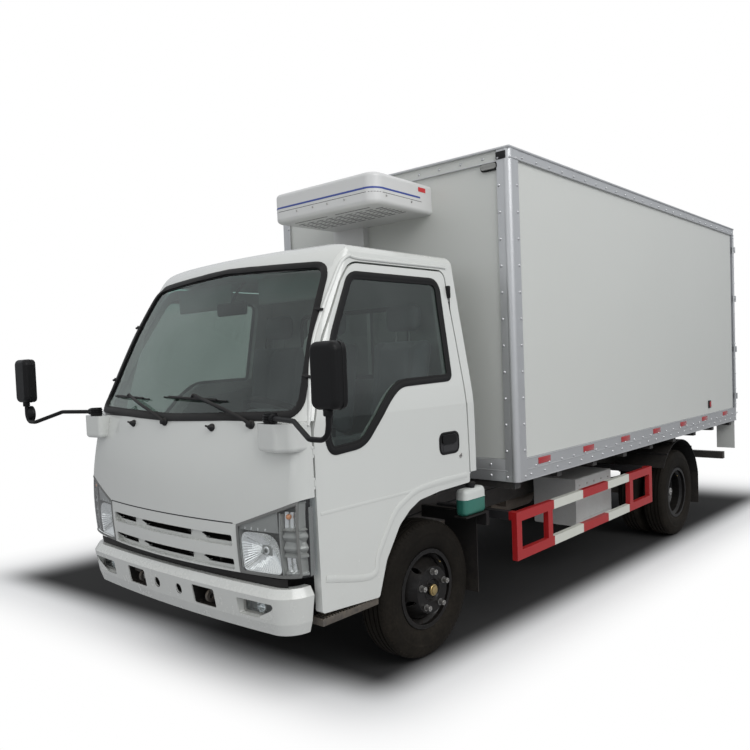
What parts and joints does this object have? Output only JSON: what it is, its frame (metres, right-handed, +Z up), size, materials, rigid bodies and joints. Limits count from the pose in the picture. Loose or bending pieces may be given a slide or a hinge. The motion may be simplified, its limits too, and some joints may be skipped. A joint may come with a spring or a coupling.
{
  "type": "refrigerated truck",
  "caption": "Light refrigerated truck: tilting forward cab on a ladder frame, insulated white load box with a cooling unit on its front wall and two rear doors.",
  "frame": {"origin": "on the ground, midway between the foremost and rearmost points, in the middle of the width", "axes": "front of the truck faces -Y, its left side is +X, +Z is up"},
  "size_m": [2.77, 6.111, 2.87],
  "materials": {
    "white_paint": "gloss",
    "white_panel": "satin",
    "cab_glass": "gloss",
    "lamp_lens": "gloss",
    "tail_lens": "gloss",
    "frame_paint": "satin",
    "engine_metal": "matt",
    "axle_iron": "matt",
    "spring_steel": "satin",
    "tank_metal": "satin",
    "silver_metal": "brushed",
    "exhaust_steel": "dull",
    "black_plastic": "matt",
    "reservoir_plastic": "satin",
    "guard_paint": "gloss",
    "rail_aluminium": "satin",
    "steel": "brushed",
    "seat_fabric": "woven",
    "interior_plastic": "matt",
    "floor_mat": "matt",
    "mirror_plastic": "satin",
    "rim_paint": "satin",
    "tyre": "matt",
    "floor_metal": "dull",
    "coil_plastic": "satin"
  },
  "bodies": {
    "chassis": {"ladder_frame": "frame_paint", "engine": "engine_metal", "front_axle": "axle_iron", "rear_axle": "axle_iron", "leaf_springs": "spring_steel", "fuel_tank": "tank_metal", "silver_box": "silver_metal", "exhaust": "exhaust_steel", "mudguards": "black_plastic", "reservoir": "reservoir_plastic", "side_guards": "guard_paint", "underrun_bar": "frame_paint", "rear_lamp_panels": "frame_paint", "fog_and_tail_lamps": "tail_lens", "front_bumper": "white_paint", "box_runners": "frame_paint", "box_bearers": "frame_paint", "box_floor": "floor_metal", "box_side_walls": "white_panel", "box_front_wall": "white_panel", "box_roof": "white_panel", "box_rear_frame": "steel", "box_edge_trim": "rail_aluminium", "fridge_unit": "white_panel", "pipe_cover": "white_panel", "coil_housing": "coil_plastic"},
    "cab": {"cab_roof": "white_paint", "cab_rear_wall": "white_paint", "cab_glass": "cab_glass", "cab_windscreen_frame": "white_paint", "cab_front_panel": "white_paint", "headlamps": "lamp_lens", "grille": "white_paint", "cab_floor": "floor_mat", "cab_steps": "black_plastic", "arch_liners": "black_plastic", "dashboard": "interior_plastic", "seats": "seat_fabric", "mirrors": "mirror_plastic"},
    "steering_wheel": {"steering_wheel": "black_plastic"},
    "door_left": {"door_left": "white_paint", "door_glass_left": "cab_glass"},
    "door_right": {"door_right": "white_paint", "door_glass_right": "cab_glass"},
    "rear_door_left": {"rear_door_left": "white_panel", "rear_door_gear_left": "steel"},
    "rear_door_right": {"rear_door_right": "white_panel", "rear_door_gear_right": "steel"},
    "knuckle_left": {"knuckle_left": "axle_iron"},
    "knuckle_right": {"knuckle_right": "axle_iron"},
    "front_wheel_left": {"front_rim_left": "rim_paint", "front_tyre_left": "tyre"},
    "front_wheel_right": {"front_rim_right": "rim_paint", "front_tyre_right": "tyre"},
    "rear_wheel_left": {"rear_rims_left": "rim_paint", "rear_tyres_left": "tyre"},
    "rear_wheel_right": {"rear_rims_right": "rim_paint", "rear_tyres_right": "tyre"}
  },
  "joints": [
    {"name": "cab_tilt", "type": "hinge", "parent": "chassis", "child": "cab", "pos_m": [0, -2.8775, 0.6], "axis": [1, 0, 0], "range_deg": [0, 45]},
    {"name": "door_left_swing", "type": "hinge", "parent": "cab", "child": "door_left", "pos_m": [0.911, -2.7495, 1], "axis": [0, 0, -1], "range_deg": [0, 70]},
    {"name": "door_right_swing", "type": "hinge", "parent": "cab", "child": "door_right", "pos_m": [-0.911, -2.7495, 1], "axis": [0, 0, 1], "range_deg": [0, 70]},
    {"name": "rear_door_left_swing", "type": "hinge", "parent": "chassis", "child": "rear_door_left", "pos_m": [1.012, 3.0445, 1.9], "axis": [0, 0, -1], "range_deg": [0, 240]},
    {"name": "rear_door_right_swing", "type": "hinge", "parent": "chassis", "child": "rear_door_right", "pos_m": [-1.012, 3.0445, 1.9], "axis": [0, 0, 1], "range_deg": [0, 240]},
    {"name": "steer_left", "type": "hinge", "parent": "chassis", "child": "knuckle_left", "pos_m": [0.56, -1.8155, 0.38], "axis": [0, 0, 1], "range_deg": [-32, 32]},
    {"name": "steer_right", "type": "hinge", "parent": "chassis", "child": "knuckle_right", "pos_m": [-0.56, -1.8155, 0.38], "axis": [0, 0, 1], "range_deg": [-32, 32]},
    {"name": "steering_wheel_turn", "type": "hinge", "parent": "cab", "child": "steering_wheel", "pos_m": [0.4, -2.5955, 1.4], "axis": [0, 0.4695, 0.8829], "range_deg": [-540, 540]},
    {"name": "front_spin_left", "type": "hinge", "parent": "knuckle_left", "child": "front_wheel_left", "pos_m": [0.68, -1.8155, 0.38], "axis": [1, 0, 0], "continuous": true},
    {"name": "front_spin_right", "type": "hinge", "parent": "knuckle_right", "child": "front_wheel_right", "pos_m": [-0.68, -1.8155, 0.38], "axis": [1, 0, 0], "continuous": true},
    {"name": "rear_spin_left", "type": "hinge", "parent": "chassis", "child": "rear_wheel_left", "pos_m": [0.724, 1.5445, 0.38], "axis": [1, 0, 0], "continuous": true},
    {"name": "rear_spin_right", "type": "hinge", "parent": "chassis", "child": "rear_wheel_right", "pos_m": [-0.724, 1.5445, 0.38], "axis": [1, 0, 0], "continuous": true}
  ],
  "couplings": [
    {"joint": "steer_right", "follows": "steer_left", "ratio": 1},
    {"joint": "steering_wheel_turn", "follows": "steer_left", "ratio": 16.875}
  ]
}
